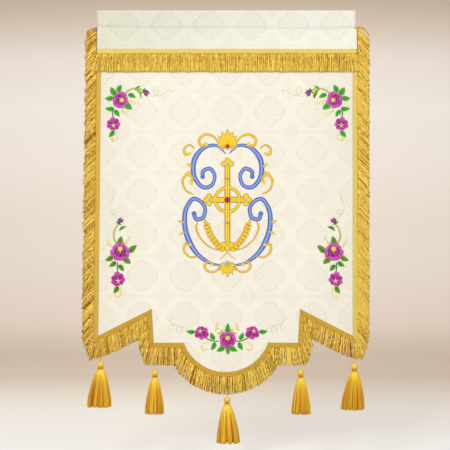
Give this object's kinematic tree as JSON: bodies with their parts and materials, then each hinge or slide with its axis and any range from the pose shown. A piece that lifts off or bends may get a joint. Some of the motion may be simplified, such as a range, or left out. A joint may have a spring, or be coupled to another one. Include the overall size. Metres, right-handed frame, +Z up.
{
  "type": "fringed church banner",
  "caption": "Hanging damask church banner with a pole sleeve, cut-out lower edge, bullion fringe and hanging tassels.",
  "frame": {"origin": "middle of the banner's top edge, on the pole sleeve's centre line", "axes": "+Z up, front of the banner faces -Y, +X to the right as seen from the front"},
  "size_m": [1.0056, 0.0444, 1.503],
  "materials": {
    "damask": "woven tone-on-tone damask",
    "gold_braid": "metallic gold bullion fringe",
    "gold_silk": "glossy golden yarn"
  },
  "bodies": {
    "root": {"pole_sleeve": "damask", "flap": "damask", "field": "damask", "fringe_top": "gold_braid", "fringe_side_left": "gold_braid", "fringe_slant_left": "gold_braid", "fringe_riser_left": "gold_braid", "fringe_lower": "gold_braid", "fringe_riser_right": "gold_braid", "fringe_slant_right": "gold_braid", "fringe_side_right": "gold_braid", "tassel_cord_1": "gold_silk", "tassel_cord_2": "gold_silk", "tassel_cord_3": "gold_silk", "tassel_cord_4": "gold_silk", "tassel_cord_5": "gold_silk", "tassel_1": "gold_silk", "tassel_2": "gold_silk", "tassel_3": "gold_silk", "tassel_4": "gold_silk", "tassel_5": "gold_silk"}
  },
  "joints": []
}
